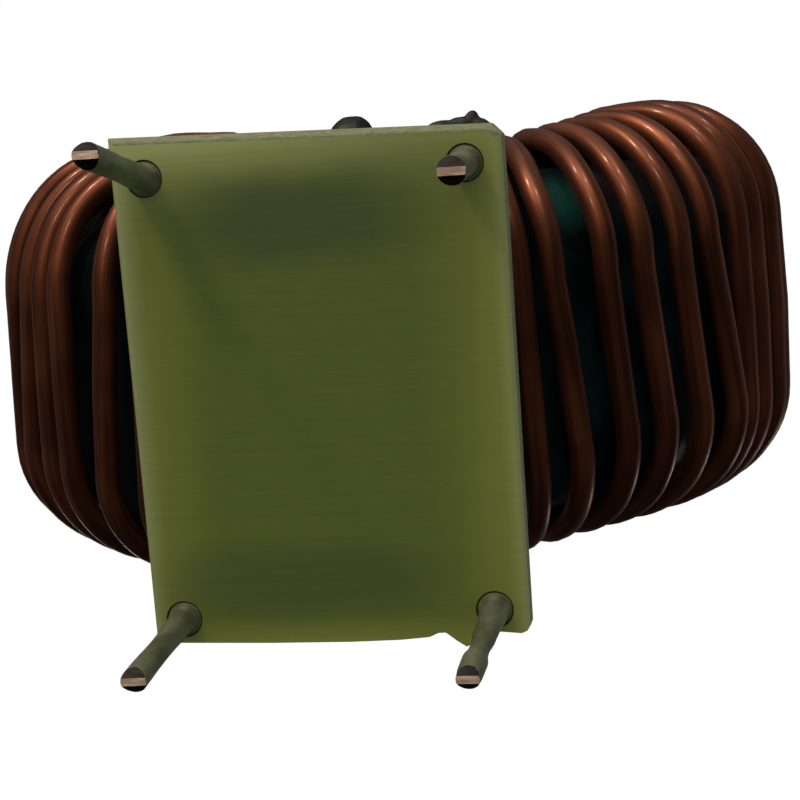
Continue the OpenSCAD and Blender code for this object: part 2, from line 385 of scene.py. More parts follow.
@dataclass(frozen=True)
class Laminate:
    """Bare glass-fibre laminate, painted paler near its edges for light that passes through it
    there, painted brighter along its front edge as a highlight, and painted darker as shade where
    glue lies behind it.
    """

    body: Colour = (0.061, 0.082, 0.0085)
    glow: Colour = (0.125, 0.15, 0.022)
    pale: Colour = (0.19, 0.2, 0.1)
    bright: Colour = (0.198, 0.226, 0.08)
    glue_shade: Colour = (0.04, 0.056, 0.0145)
    half_w: float = 9.15
    front: float = 12.3
    back: float = 11.9

    def patch(self, graph: Graph, centre: Point, reach: Point, fade: float) -> Socket:
        """A soft patch of painted shade, where something dark lies behind the board.

        Args:
            graph: The material that it goes into.
            centre: Middle of the patch.
            reach: Half its width and length, to the middle of its soft edge.
            fade: How soft the edge is, as a share of the reach.

        Returns:
            A share that is 1 in the patch.
        """
        terms = []
        for axis, middle, half in (("X", centre[0], reach[0]), ("Y", centre[1], reach[1])):
            away = graph.sum("SUBTRACT", graph.part(axis), middle)
            share = graph.sum("ABSOLUTE", graph.sum("DIVIDE", away, half))
            terms.append(graph.sum("POWER", share, 3.0))
        far = graph.sum("POWER", graph.sum("ADD", *terms), 1 / 3.0)
        wander = graph.sum("MULTIPLY_ADD", graph.noise(0.3, 2.0), 0.5, -0.25)
        outside = graph.ramp(graph.sum("ADD", far, wander), 1 - fade, 1 + fade)
        return graph.sum("SUBTRACT", 1.0, outside)

    def edge(self, graph: Graph, axis: str, at: float, reach: float, bend: float = 1.4) -> Socket:
        """How near a place is to one straight edge of the board.

        Args:
            graph: The material that it goes into.
            axis: The axis across the edge.
            at: Where on it the edge lies.
            reach: How far inwards the edge is felt.
            bend: How fast that falls off.

        Returns:
            A share from 1 on the edge to 0 at the reach.
        """
        away = graph.sum("SUBTRACT", graph.part(axis), at)
        inward = graph.sum("MULTIPLY", away, -math.copysign(1 / reach, at))
        return graph.sum("POWER", graph.sum("SUBTRACT", 1.0, inward, clamp=True), bend)

    def make(self) -> bpy.types.Material:
        """Makes the material.

        Returns:
            The material.
        """
        graph = Graph("board")
        tone: Socket | Colour = self.body
        # Painted light: towards glow near the sides and the back edge, and towards pale in thin
        # strips along the sides, for light that passes through the board near its edges.
        for axis, at, reach, colour, strength in (
            ("X", -self.half_w, 4.2, self.glow, 0.7),
            ("X", self.half_w, 4.8, self.glow, 0.9),
            ("Y", self.back, 1.6, self.glow, 0.8),
            ("X", -self.half_w, 1.0, self.pale, 0.55),
            ("X", self.half_w, 0.9, self.pale, 0.5),
        ):
            near = graph.sum("MULTIPLY", self.edge(graph, axis, at, reach), strength)
            tone = graph.blend(near, tone, colour)
        # Painted highlight: the front edge is painted towards bright, most at the left, for a
        # lamp's light off the scored edge.
        lit_side = graph.sum("MULTIPLY_ADD", graph.part("X"), -0.045, 0.85)
        at_front = self.edge(graph, "Y", -self.front, 4.2, 2.0)
        lit_end = graph.sum("MULTIPLY", at_front, lit_side, clamp=True)
        tone = graph.blend(lit_end, tone, self.bright)
        # Painted shade: two dark patches, where the glue beads behind the board keep light from
        # passing through it.
        front_patch = self.patch(graph, (-0.6, -8.3, 0), (5.0, 1.9, 0), 0.55)
        back_patch = self.patch(graph, (-1.6, 8.9, 0), (5.8, 1.6, 0), 0.5)
        for share, strength in ((front_patch, 0.9), (back_patch, 0.65)):
            tone = graph.blend(graph.sum("MULTIPLY", share, strength), tone, self.glue_shade)
        weave = graph.noise(1.0, 2.0, graph.stretched((0.1, 3.4, 1.0)))
        mottle = graph.noise(1.3, 3.0)
        threads, spots = graph.sum("MULTIPLY", weave, 0.16), graph.sum("MULTIPLY", mottle, 0.08)
        grain = graph.sum("ADD", threads, spots)
        gain = graph.sum("ADD", grain, 0.88)
        graph.join(graph.scaled(tone, gain), "Base Color")
        graph.set(Roughness=0.45, Specular_IOR_Level=0.3)
        threads = graph.bump(weave, 0.01)
        graph.join(graph.bump(graph.noise(5.0, 2.0), 0.004, threads), "Normal")
        return graph.owner


@dataclass(frozen=True)
class SawnLaminate:
    """The broken and scored edges of the laminate, pale with torn fibres."""

    name: str = "board_edge"
    pale: Colour = (0.13, 0.142, 0.075)
    deep: Colour = (0.09, 0.1, 0.048)

    def make(self) -> bpy.types.Material:
        """Makes the material.

        Returns:
            The material.
        """
        graph = Graph(self.name)
        torn = graph.noise(2.2, 4.0, graph.stretched((1.0, 1.0, 4.0)), 0.65)
        graph.join(graph.blend(graph.ramp(torn, 0.3, 0.7), self.deep, self.pale), "Base Color")
        graph.set(Roughness=0.7, Specular_IOR_Level=0.3)
        graph.join(graph.bump(torn, 0.08), "Normal")
        return graph.owner


# A darker copy of the edge finish for the holes' walls and the tin sunk in the holes: its grain is
# the edge finish's, its darkness is painted shade in these recesses.
RECESS_SHADE = SawnLaminate("board_hole", (0.085, 0.1, 0.036), (0.058, 0.066, 0.024))


@dataclass(frozen=True)
class Tin:
    """Dull hot-dipped tin over the wire's end."""

    light: Colour = (0.15, 0.166, 0.105)
    dark: Colour = (0.078, 0.09, 0.052)

    def make(self) -> bpy.types.Material:
        """Makes the material, with drips, dull places and fine grain.

        Returns:
            The material.
        """
        graph = Graph("tinned_wire")
        cloud = graph.ramp(graph.noise(1.0, 3.0, graph.stretched((1.1, 1.1, 0.3))), 0.35, 0.68)
        graph.join(graph.blend(cloud, self.dark, self.light), "Base Color")
        graph.set(Metallic=0.6)
        graph.join(graph.sum("MULTIPLY_ADD", graph.noise(1.2, 2.0), 0.16, 0.36), "Roughness")
        lumps = graph.bump(graph.noise(1.0, 1.0, graph.stretched((1.3, 1.3, 0.22))), 0.014)
        graph.join(graph.bump(graph.noise(9.0, 2.0), 0.002, lumps), "Normal")
        return graph.owner


@dataclass(frozen=True)
class CutCopper:
    """Bare metal in a pin's pinched tip: a bright copper strip between two slopes that are painted
    near-black, as painted shade.
    """

    name: str
    copper: Colour
    smear: Colour
    metallic: float
    roughness: float

    def make(self) -> bpy.types.Material:
        """Makes the material, with fine marks of the cutter.

        Returns:
            The material.
        """
        graph = Graph(self.name)
        marks = graph.noise(3.0, 3.0, graph.stretched((0.5, 2.4, 1.0)))
        graph.join(graph.blend(graph.ramp(marks, 0.35, 0.7), self.copper, self.smear), "Base Color")
        graph.set(Metallic=self.metallic, Roughness=self.roughness)
        graph.join(graph.bump(marks, 0.02), "Normal")
        return graph.owner


STRIP = CutCopper("cut_copper", (0.3, 0.19, 0.13), (0.46, 0.36, 0.26), 0.25, 0.4)
# Painted shade: the slopes get a near-black metal that stands in for the dark surroundings they
# reflect.
SLOPE = CutCopper("cut_tarnish", (0.008, 0.008, 0.009), (0.02, 0.016, 0.014), 0.9, 0.5)


@dataclass(frozen=True)
class Rubber:
    """Cured black glue."""

    black: Colour = (0.003, 0.0045, 0.0045)
    grey: Colour = (0.009, 0.012, 0.012)

    def make(self) -> bpy.types.Material:
        """Makes the material, satin with small lumps.

        Returns:
            The material.
        """
        graph = Graph("black_glue")
        cloud = graph.ramp(graph.noise(1.4, 3.0), 0.4, 0.7)
        graph.join(graph.blend(cloud, self.black, self.grey), "Base Color")
        graph.set(Roughness=0.5, Specular_IOR_Level=0.2)
        graph.join(graph.bump(graph.noise(1.8, 3.0), 0.08), "Normal")
        return graph.owner


# The ring


@dataclass(frozen=True)
class RingPlace:
    """Where the wound ring stands over the board."""

    x: float = -0.28
    y: float = -0.7
    z: float = 24.66
    turn: float = -2.4

    def point(self, radius: float, depth: float, angle: float) -> Vector:
        """A point on the ring, in the part's frame.

        Args:
            radius: Distance from the ring's own axis.
            depth: Distance along that axis, negative at the front.
            angle: Angle round the axis, from the board towards the left.

        Returns:
            The point.
        """
        around = math.radians(angle)
        across = Vector((-radius * math.sin(around), depth, 0))
        turned = Matrix.Rotation(math.radians(self.turn), 3, "Z") @ across
        return Vector((turned.x + self.x, turned.y + self.y, self.z - radius * math.cos(around)))


@dataclass(frozen=True)
class Core:
    """The coated ring core, rounded on every edge."""

    place: RingPlace = field(default_factory=RingPlace)
    outer_r: float = 21.35
    bore_r: float = 12.0
    half: float = 8.7
    outer_edge: float = 4.1
    inner_edge: float = 3.9
    edge_steps: int = 12
    steps: int = 160

    def build(self, finish: bpy.types.Material) -> None:
        """Makes the ring by spinning its section, and puts it in the node's place.

        Args:
            finish: Its coating.
        """
        deselect()
        wide, mid = self.outer_r - self.bore_r, (self.outer_r + self.bore_r) / 2
        upright = Matrix.Rotation(math.pi / 2, 4, "X")
        bpy.ops.mesh.primitive_plane_add(size=1)
        piece = bpy.context.object
        piece.name = "coated_core"
        section = Matrix.Diagonal((wide, 2 * self.half, 1, 1))
        piece.data.transform(Matrix.Translation((mid, 0, 0)) @ section)
        piece.data.transform(upright)
        bpy.ops.object.mode_set(mode="EDIT")
        for outside, edge in ((True, self.outer_edge), (False, self.inner_edge)):
            pick(
                piece,
                Element.VERT,
                lambda v: (v.co.x > mid) is outside and abs(v.co.z) > self.half - NEAR,
            )
            bpy.ops.mesh.bevel(offset=edge, segments=self.edge_steps, affect="VERTICES")
        bpy.ops.mesh.select_all(action="SELECT")
        bpy.ops.mesh.delete(type="ONLY_FACE")
        bpy.ops.mesh.select_all(action="SELECT")
        bpy.ops.mesh.spin(steps=self.steps, angle=2 * math.pi, center=(0, 0, 0), axis=(0, 0, 1))
        bpy.ops.mesh.select_all(action="SELECT")
        bpy.ops.mesh.remove_doubles(threshold=0.001)
        bpy.ops.mesh.normals_make_consistent(inside=False)
        bpy.ops.object.mode_set(mode="OBJECT")
        moved = Matrix.Translation((self.place.x, self.place.y, self.place.z))
        turned = Matrix.Rotation(math.radians(self.place.turn), 4, "Z")
        piece.data.transform(moved @ (turned @ upright))
        bpy.ops.object.shade_smooth()
        settle(piece, [finish], "core")


# The winding


def swelling(swells: Sequence[Swell], u: float) -> float:
    """Sum at an angle of swells, each one a middle, a spread and an amount."""
    return sum(amount * math.exp(-(((u - at) / spread) ** 2)) for at, spread, amount in swells)


def sine_cosine(angle: float) -> tuple[float, float]:
    """Sine and cosine of an angle in degrees."""
    return math.sin(math.radians(angle)), math.cos(math.radians(angle))


def listed(values: Sequence[float], place: int, other: float) -> float:
    """Entry of a list of strays or leans, or a default where the list has none."""
    return values[place] if 0 <= place < len(values) else other


def rounded(a: Vector, b: Vector, c: Vector, d: Vector, t: float) -> Vector:
    """A point on the smooth line through four points in a row, between the middle two.

    Args:
        a: The point before.
        b: The line's start.
        c: The line's end.
        d: The point after.
        t: Share of the way.

    Returns:
        The point.
    """
    span = (c - b).length
    out = (c - a).normalized() * span
    into = (d - b).normalized() * span
    t2, t3 = t * t, t * t * t
    start = (2 * t3 - 3 * t2 + 1) * b + (t3 - 2 * t2 + t) * out
    return start + (3 * t2 - 2 * t3) * c + (t3 - t2) * into


# Hand-bent routes of the wire from the pins' tops to the winding
LEADS: dict[str, tuple[Point, ...]] = {
    "front_left": (
        (-8.05, -11.2, 2.95), (-8.0, -11.95, 3.6), (-7.2, -12.12, 4.1), (-5.6, -12.05, 4.45),
        (-4.3, -11.92, 4.7), (-3.85, -11.3, 4.75), (-4.2, -10.4, 4.65),
    ),
    "front_right": (
        (7.05, -10.5, 2.75), (6.2, -10.9, 3.3), (4.7, -11.35, 4.3), (3.2, -11.4, 6),
        (2.4, -11.25, 8.6), (2.15, -11.3, 11.4),
    ),
    "back_left": (
        (-7.2, 10.5, 2.8), (-6.3, 10.4, 3.4), (-4.7, 10.2, 4), (-3.2, 9.9, 5.8), (-2.7, 9.65, 8.4),
    ),
    "back_right": ((7.35, 10.5, 2.7), (6.6, 9.9, 3.1), (5.3, 8.4, 3.2), (4.55, 6.8, 3.2)),
}


@dataclass(frozen=True)
class FaceShape:
    """How the wires lie at one face of the ring.

    A swell there is an angle round the ring, how far it spreads, and how much it adds.
    """

    stand: float
    bend: float
    bends: tuple[Swell, ...]
    bulge: float
    swells: tuple[Swell, ...]
    lifts: tuple[Swell, ...]


FACES: dict[Side, FaceShape] = {
    Side.FRONT: FaceShape(
        stand=0.96,
        bend=5.3,
        bends=((45, 35, 1.26), (325, 25, 1.6)),
        bulge=0.09,
        swells=((62, 28, 1.72), (285, 18, 1), (305, 12, 0.12), (338, 14, -0.61)),
        lifts=((20, 18, -0.23), (70, 30, -0.6), (285, 22, 0.03), (325, 18, 1.47)),
    ),
    Side.BACK: FaceShape(
        stand=0.6,
        bend=4.9,
        bends=((60, 35, 1.15), (318, 25, 0.61), (0, 30, -3.43), (360, 30, -3.43)),
        bulge=1.0,
        swells=((60, 30, -0.02), (285, 25, -0.03), (322, 20, -0.02)),
        lifts=((88, 28, 0.85), (278, 25, -0.57), (325, 18, -0.57)),
    ),
}


@dataclass(frozen=True)
class Winding:
    """Two strands of enamelled wire, laid side by side round the core by hand.

    A rim wire's number counts round the ring from the board, even on the first strand and odd on
    the second. Strays and leans are listed from both ends of that count.
    """

    core: Core = field(default_factory=Core)
    wire_r: float = 0.63
    turns: int = 26
    first_pair: float = 15.4
    pair_gap: float = 5.4
    pitch: float = 13.17
    rim_stand: float = 0.45
    bore_stand: float = 0.05
    inner_bend: float = 3.6
    face_out: float = 20.8
    face_in: float = 12.35
    face_mid: float = 16.0
    even_lean: float = 2.5
    side_lean: float = 3.5
    first_stray: tuple[float, ...] = (0, 0, 0, 2.3, 4.4, 4.5, 3.9, 9.2, 4.9, 3, 1)
    first_lean: tuple[float, ...] = (3, 3, 3, 3.8, 1.5, 2.2, 6, 8, 8, 8, 7)
    last_stray: tuple[float, ...] = (0, 0, 0.7, 0.7, 1.2, 0.5, 1.3, -0.8, 1, 0.9, -0.6)
    last_lean: tuple[float, ...] = (1.7, 1.2, -0.5, -2.6, -2.4, -3.2, -3, -5, -0.1, 0, 0)
    start_turn: float = 40.0
    loose_end: float = 1.5
    corner_steps: int = 8
    straight_steps: int = 6
    smooth_steps: int = 8
    closest: float = 0.05
    spacing: float = 0.5
    tube_resolution: int = 5

    @property
    def last_wire(self) -> int:
        """Number of the last rim wire."""
        return 2 * self.turns - 1

    @property
    def rim_r(self) -> float:
        """Radius of the wire's middle line on the rim."""
        return self.core.outer_r + self.wire_r + self.rim_stand

    @property
    def inner_r(self) -> float:
        """Radius of the wire's middle line in the bore."""
        return self.core.bore_r - self.wire_r - self.bore_stand

    def face_y(self, side: Side) -> float:
        """Depth of the wire's middle line on a face."""
        return self.core.half + self.wire_r + FACES[side].stand

    def rim_angle(self, w: int) -> float:
        """Finds where a rim wire lies at mid rim.

        Args:
            w: Its number.

        Returns:
            Its angle round the ring, counted from the board.
        """
        side = -0.5 if w % 2 == 0 else 0.5
        even = self.first_pair + (w // 2) * self.pitch + side * self.pair_gap
        return even + listed(self.first_stray, w, listed(self.last_stray, self.last_wire - w, 0.0))

    def rim_lean(self, w: int) -> float:
        """Angle that a rim wire gains from the front to the back."""
        plain = self.even_lean + self.side_lean * math.sin(math.radians(self.rim_angle(w)))
        return listed(self.first_lean, w, listed(self.last_lean, self.last_wire - w, plain))

    def corner_angle(self, side: Side, w: int) -> float:
        """Angle of a rim wire at one of its two corners."""
        return self.rim_angle(w) + side.value * self.rim_lean(w) / 2

    def bore_angle(self, w: int) -> float:
        """Angle of a wire in the bore."""
        return self.first_pair + self.pitch * (w / 2 + 0.25)

    def outer_bend(self, side: Side, u: float) -> float:
        """Radius of the bend at an outer corner."""
        return FACES[side].bend + swelling(FACES[side].bends, u)

    def outer_corner(self, side: Side, a: float, u: float) -> tuple[float, float]:
        """Radius and depth on an outer corner, a degrees on from the rim."""
        sine, cosine, bend = *sine_cosine(a), self.outer_bend(side, u)
        return self.rim_r - bend * (1 - cosine), self.face_y(side) - bend * (1 - sine)

    def inner_corner(self, side: Side, a: float) -> tuple[float, float]:
        """Radius and depth on an inner corner, a degrees on from the face."""
        sine, cosine, bend = *sine_cosine(a), self.inner_bend
        return self.inner_r + bend * (1 - sine), self.face_y(side) - bend * (1 - cosine)

    def looseness(self, side: Side, u: float) -> float:
        """How far the front swells outwards, and the back is drawn in."""
        return 1 + FACES[side].bulge * swelling(FACES[side].swells, u)

    def rim_lift(self, depth: float, u: float) -> float:
        """How far the outer part of a wire stands off its even radius at a depth."""
        side = Side.FRONT if depth < 0 else Side.BACK
        return abs(depth) / self.face_y(side) * swelling(FACES[side].lifts, u)

    def station(self, place: tuple[float, float], side: Side, u: float) -> Vector:
        """A point of the winding in the part's frame.

        Args:
            place: Its radius and depth on a tidy winding.
            side: The face that it is nearer to.
            u: Its angle round the ring.

        Returns:
            The point.
        """
        depth = side.value * place[1] * self.looseness(side, u)
        outer = min(1.0, max(0.0, (place[0] - self.face_mid) / (self.rim_r - self.face_mid)))
        return self.core.place.point(place[0] + outer * self.rim_lift(depth, u), depth, u)

    def face_share(self, r: float) -> float:
        """Share of the way from the rim's angle to the bore's at a radius, for a straight wire."""
        whole = self.face_out - self.face_in
        return min(1.0, max(0.0, 1 - (r - self.face_in) / whole * self.face_out / r))

    def over_face(self, side: Side, rim_u: float, bore_u: float) -> list[Vector]:
        """Points over one face, from the rim's corner to the bore's.

        Args:
            side: The face.
            rim_u: The wire's angle on the rim.
            bore_u: Its angle in the bore.

        Returns:
            The points, without the first one on the rim.
        """
        steps = self.corner_steps
        places = [self.outer_corner(side, 90 * i / steps, rim_u) for i in range(1, steps + 1)]
        places += [self.inner_corner(side, 90 * i / steps) for i in range(steps + 1)]
        return [
            self.station(place, side, rim_u + (bore_u - rim_u) * self.face_share(place[0]))
            for place in places
        ]

    def rim_run(self, w: int) -> list[Vector]:
        """Points of a wire along the rim, from its front corner to its back one.

        Args:
            w: The rim wire's number.

        Returns:
            The points.
        """
        points = []
        for side in Side:
            corner = self.outer_corner(side, 0, self.corner_angle(side, w))[1]
            for i in range(self.straight_steps + 1):
                share = i / self.straight_steps
                share = 1 - share if side is Side.FRONT else share
                u = self.rim_angle(w) + side.value * share * self.rim_lean(w) / 2
                points.append(self.station((self.rim_r, corner * share), side, u))
        del points[self.straight_steps]
        return points

    def full_turns(self, first: int, last: int) -> list[Vector]:
        """Points of all full turns of a strand, each to the front corner of its next rim wire.

        Args:
            first: Number of the rim wire that the first turn starts with.
            last: Number of the one that the last turn starts with.

        Returns:
            The points.
        """
        points = []
        for w in range(first, last + 1, 2):
            bore = self.bore_angle(w)
            points += self.rim_run(w)
            points += self.over_face(Side.BACK, self.corner_angle(Side.BACK, w), bore)
            points += self.over_face(Side.FRONT, self.corner_angle(Side.FRONT, w + 2), bore)[::-1]
        return points

    def bore_end(self, side: Side, u: float, gain: float) -> list[Vector]:
        """Points of a strand's end out of the bore and halfway round the bend to a face."""
        bend = ((90, u), (45, u + gain))
        return [self.station(self.inner_corner(side, a), side, angle) for a, angle in bend]

    def strands(self, pins: "PinSet") -> tuple[list[Vector], list[Vector]]:
        """Points of both strands, from the pins on the left to those on the right.

        Args:
            pins: The wire's ends.

        Returns:
            The strand between the front pins, and the one between the back pins.
        """
        front, back, last = Side.FRONT, Side.BACK, self.last_wire
        leads = {pin: pins.top(pin) + [Vector(p) for p in route] for pin, route in LEADS.items()}
        bend = self.outer_corner(front, self.start_turn, 0)
        start = self.station(bend, front, self.corner_angle(front, 0))
        out, into = self.bore_angle(last - 1), self.bore_angle(-1)
        first = (
            leads["front_left"] + [start] + self.full_turns(0, last - 3) + self.rim_run(last - 1)
            + self.over_face(back, self.corner_angle(back, last - 1), out)
            + self.bore_end(front, out, self.loose_end) + leads["front_right"][::-1]
        )
        second = (
            leads["back_left"] + self.bore_end(back, into, -self.loose_end)[::-1]
            + self.over_face(front, self.corner_angle(front, 1), into)[::-1]
            + self.full_turns(1, last - 2) + self.rim_run(last) + leads["back_right"][::-1]
        )
        return first, second

    def evened(self, points: Sequence[Vector]) -> list[Vector]:
        """Draws a smooth line through points and steps evenly along it.

        Args:
            points: Points on the line, unevenly spaced.

        Returns:
            Points an even spacing apart.
        """
        kept = [points[0]]
        for p in points[1:]:
            if (p - kept[-1]).length > self.closest:
                kept.append(p)
        fine, steps = [kept[0]], self.smooth_steps
        for i in range(len(kept) - 1):
            a, b = kept[max(0, i - 1)], kept[i]
            c, d = kept[i + 1], kept[min(len(kept) - 1, i + 2)]
            fine += [rounded(a, b, c, d, k / steps) for k in range(1, steps + 1)]
        even, carried = [fine[0]], 0.0
        for a, b in zip(fine, fine[1:]):
            carried += (b - a).length
            if carried >= self.spacing:
                even.append(b)
                carried = 0.0
        even[-1] = fine[-1]
        return even

    def tube(self, name: str, points: Sequence[Vector]) -> bpy.types.Object:
        """Makes a round wire along points.

        Args:
            name: The piece's name.
            points: Its middle line.

        Returns:
            The wire, as a mesh.
        """
        curve = bpy.data.curves.new(name, "CURVE")
        curve.dimensions = "3D"
        curve.bevel_depth = self.wire_r
        curve.bevel_resolution = self.tube_resolution
        curve.use_fill_caps = True
        spline = curve.splines.new("POLY")
        spline.points.add(len(points) - 1)
        for knot, p in zip(spline.points, points):
            knot.co = (*p, 1.0)
        piece = bpy.data.objects.new(name, curve)
        bpy.context.collection.objects.link(piece)
        focus(piece)
        bpy.ops.object.convert(target="MESH")
        bpy.ops.object.shade_smooth()
        return bpy.context.object

    def build(self, pins: "PinSet", finish: bpy.types.Material) -> None:
        """Makes both strands, and puts them in the nodes' place.

        Args:
            pins: The wire's ends.
            finish: The wire's enamel.
        """
        first, second = self.strands(pins)
        for name, node, points in (
            ("strand_from_the_rim", "winding_a", first),
            ("strand_from_the_bore", "winding_b", second),
        ):
            settle(self.tube(name, self.evened(points)), [finish], node)


# The pins


@dataclass(frozen=True)
class PinPlace:
    """One pin: its hole's drift off the grid, its tip's lean, and its girth.

    The girth lists heights with the radius at each, from the tip up.
    """

    drift: tuple[float, float]
    lean: tuple[float, float]
    girth: tuple[tuple[float, float], ...]


PIN_PLACES: dict[str, PinPlace] = {
    "front_left": PinPlace(
        (-0.33, -0.1), (0.48, -1.07), ((-9.4, 0.61), (-7, 0.6), (-4, 0.58), (-1.5, 0.63))
    ),
    "front_right": PinPlace(
        (-0.14, 0.16), (0.61, 0.35), ((-9.4, 0.61), (-6.5, 0.58), (-3, 0.6), (-1, 0.64))
    ),
    "back_right": PinPlace(
        (0.0, 0.05),
        (-0.16, 0.62),
        (
            (-9.4, 0.53), (-8.6, 0.58), (-7.3, 0.59), (-6.4, 0.47), (-5.6, 0.44), (-4, 0.53),
            (-2, 0.58), (-1, 0.66),
        ),
    ),
    "back_left": PinPlace(
        (-0.12, 0.12), (0.37, 0.35), ((-9.4, 0.56), (-7, 0.56), (-4, 0.55), (-1.5, 0.6))
    ),
}


def eased(value: float, low: float, high: float) -> float:
    """A soft step from 0 at the low value to 1 at the high one."""
    share = min(1.0, max(0.0, (value - low) / (high - low)))
    return share * share * (3 - 2 * share)


class PinSkin(IntEnum):
    """A pin's materials, in their order."""

    TIN = 0
    STRIP = 1
    SLOPE = 2
    SUNK = 3


@dataclass(frozen=True)
class PinSet:
    """The wire's four ends, tinned and pinched off, with tin that fills the board's holes."""

    radius: float = 0.63
    length: float = 9.48
    top_z: float = 2.0
    mid_z: float = -0.2
    overlap: float = 0.35
    half_w: float = 7.5
    half_l: float = 10.5
    tin_radius: float = 0.76
    collar_radius: float = 0.89
    collar_foot: tuple[float, float] = (0.03, 0.17)
    collar_head: tuple[float, float] = (1.15, 1.4)
    tin_foot: tuple[float, float] = (-0.6, -0.08)
    tin_head: tuple[float, float] = (1.45, 1.75)
    lump_head: tuple[float, float] = (-0.2, 0.1)
    lump_scale: float = 0.3
    lump_depth: float = 0.04
    lump_shift: float = 7.3
    tip_flat: float = 0.35
    tip_slope: float = 0.42
    tip_bevel: float = 0.03
    slope_facing: float = -0.3
    strip_facing: float = -0.9
    seam: float = 0.06
    smooth_below: float = 28.0
    rings: int = 90
    sides: int = 48

    def hole(self, corner: str) -> Vector:
        """Finds the middle of a hand-drilled hole.

        Args:
            corner: The corner that it is at.

        Returns:
            Its middle on the board's underside.
        """
        drift = PIN_PLACES[corner].drift
        across = -self.half_w if "left" in corner else self.half_w
        along = -self.half_l if "front" in corner else self.half_l
        return Vector((drift[0] + across, drift[1] + along, 0.0))

    def axis_point(self, corner: str, z: float) -> Vector:
        """Point on a pin's middle line at a height."""
        share, (dx, dy) = (self.mid_z - z) / (self.mid_z + self.length), PIN_PLACES[corner].lean
        return self.hole(corner) + Vector((dx * share, dy * share, z))

    def top(self, corner: str) -> list[Vector]:
        """The two points where a pin passes into the enamelled wire."""
        return [self.axis_point(corner, z) for z in (self.top_z, self.top_z + self.overlap)]

    def girth(self, corner: str, z: float) -> float:
        """Finds how thick the tinned wire is at a height.

        Args:
            corner: The pin's corner.
            z: The height.

        Returns:
            The wire's radius.
        """
        steps = (*PIN_PLACES[corner].girth, (-self.mid_z, self.radius))
        for (low, thin), (high, thick) in zip(steps, steps[1:]):
            if z < high:
                return thin + (thick - thin) * eased(z, low, high)
        return self.radius

    def pin(self, corner: str, order: int) -> bpy.types.Object:
        """Shapes one pin.

        Args:
            corner: The corner that it stands at.
            order: Its number, which sets where its lumps lie.

        Returns:
            The pin.
        """
        foot, head = self.axis_point(corner, -self.length), self.axis_point(corner, self.top_z)
        tall = (head - foot).length
        lean = Vector((0, 0, 1)).rotation_difference(head - foot)
        deselect()
        bpy.ops.mesh.primitive_cylinder_add(vertices=self.sides, radius=1.0, depth=tall)
        piece = bpy.context.object
        piece.name = f"pin_end_{corner}"
        bpy.ops.object.mode_set(mode="EDIT")
        pick(piece, Element.EDGE, lambda a, b: abs(a.z - b.z) > tall / 2)
        bpy.ops.mesh.subdivide(number_cuts=self.rings)
        bpy.ops.object.mode_set(mode="OBJECT")
        for vertex in piece.data.vertices:
            middle = foot.lerp(head, vertex.co.z / tall + 0.5)
            vertex.co = self.skin(corner, order, middle, lean, Vector((*vertex.co.xy, 0)))
        bpy.ops.object.mode_set(mode="EDIT")
        self.cut_tip(piece, foot, lean)
        bpy.ops.object.mode_set(mode="OBJECT")
        for face in piece.data.polygons:
            facing, height = face.normal.z, face.center.z
            if facing < self.slope_facing and height < self.tip_slope - self.length:
                face.material_index = PinSkin.STRIP if facing < self.strip_facing else PinSkin.SLOPE
            elif self.collar_foot[0] < height + self.seam < self.tin_head[0]:
                # Faces of the tin sunk in the hole get the darker recess finish: painted shade in
                # the groove.
                face.material_index = PinSkin.SUNK
        focus(piece)
        bpy.ops.object.shade_smooth_by_angle(angle=math.radians(self.smooth_below))
        return piece

    def skin(
        self, corner: str, order: int, middle: Vector, lean: Quaternion, out: Vector
    ) -> Vector:
        """Finds a point on the tin's skin.

        Args:
            corner: The pin's corner.
            order: Its number.
            middle: The point of the pin's middle line that it belongs to.
            lean: How the pin is tilted.
            out: Its direction from the middle line on an upright pin, 1 long.

        Returns:
            The point.
        """
        filled = eased(middle.z, *self.tin_foot) * (1 - eased(middle.z, *self.tin_head))
        hole = self.hole(corner)
        centre = middle.lerp(Vector((hole.x, hole.y, middle.z)), filled)
        collar = eased(middle.z, *self.collar_foot) * (1 - eased(middle.z, *self.collar_head))
        tin = self.tin_radius + (self.collar_radius - self.tin_radius) * collar
        radius = self.girth(corner, middle.z) * (1 - filled) + tin * filled
        shift = middle + out + Vector((order * self.lump_shift, 0, 0))
        bare = 1 - eased(middle.z, *self.lump_head)
        lump = noise.noise(shift * self.lump_scale) * self.lump_depth
        upright = Quaternion().slerp(lean, 1 - filled)
        return centre + upright @ (out * (radius + bare * lump))

    def cut_tip(self, piece: bpy.types.Object, foot: Vector, lean: Quaternion) -> None:
        """Pinches the tip off from both sides, in edit mode, and breaks its sharp edges.

        Args:
            piece: The pin in edit mode.
            foot: The lower end of its middle line.
            lean: How it is tilted.
        """
        slope = math.atan2(self.tip_slope, self.radius - self.tip_flat / 2)
        for sign in (-1, 1):
            bpy.ops.mesh.select_mode(type="VERT")
            bpy.ops.mesh.select_all(action="SELECT")
            bpy.ops.mesh.bisect(
                plane_co=foot + lean @ Vector((0, sign * self.tip_flat / 2, 0)),
                plane_no=lean @ Vector((0, sign * math.sin(slope), -math.cos(slope))),
                use_fill=True,
                clear_outer=True,
            )
        low = 1 - self.length
        pick(
            piece,
            Element.FACE,
            lambda f: f.normal.z < self.slope_facing and f.calc_center_median().z < low,
        )
        bpy.ops.mesh.region_to_loop()
        bpy.ops.mesh.bevel(offset=self.tip_bevel, segments=2, affect="EDGES")

    def build(self, finishes: Sequence[bpy.types.Material]) -> None:
        """Makes the four pins in PinSkin's finishes, and puts them in the nodes' place."""
        for order, corner in enumerate(PIN_PLACES):
            settle(self.pin(corner, order), finishes, f"pin_{corner}")


# The board


class BoardSkin(IntEnum):
    """The board's materials, in their order."""

    FACE = 0
    EDGE = 1
    HOLE = 2


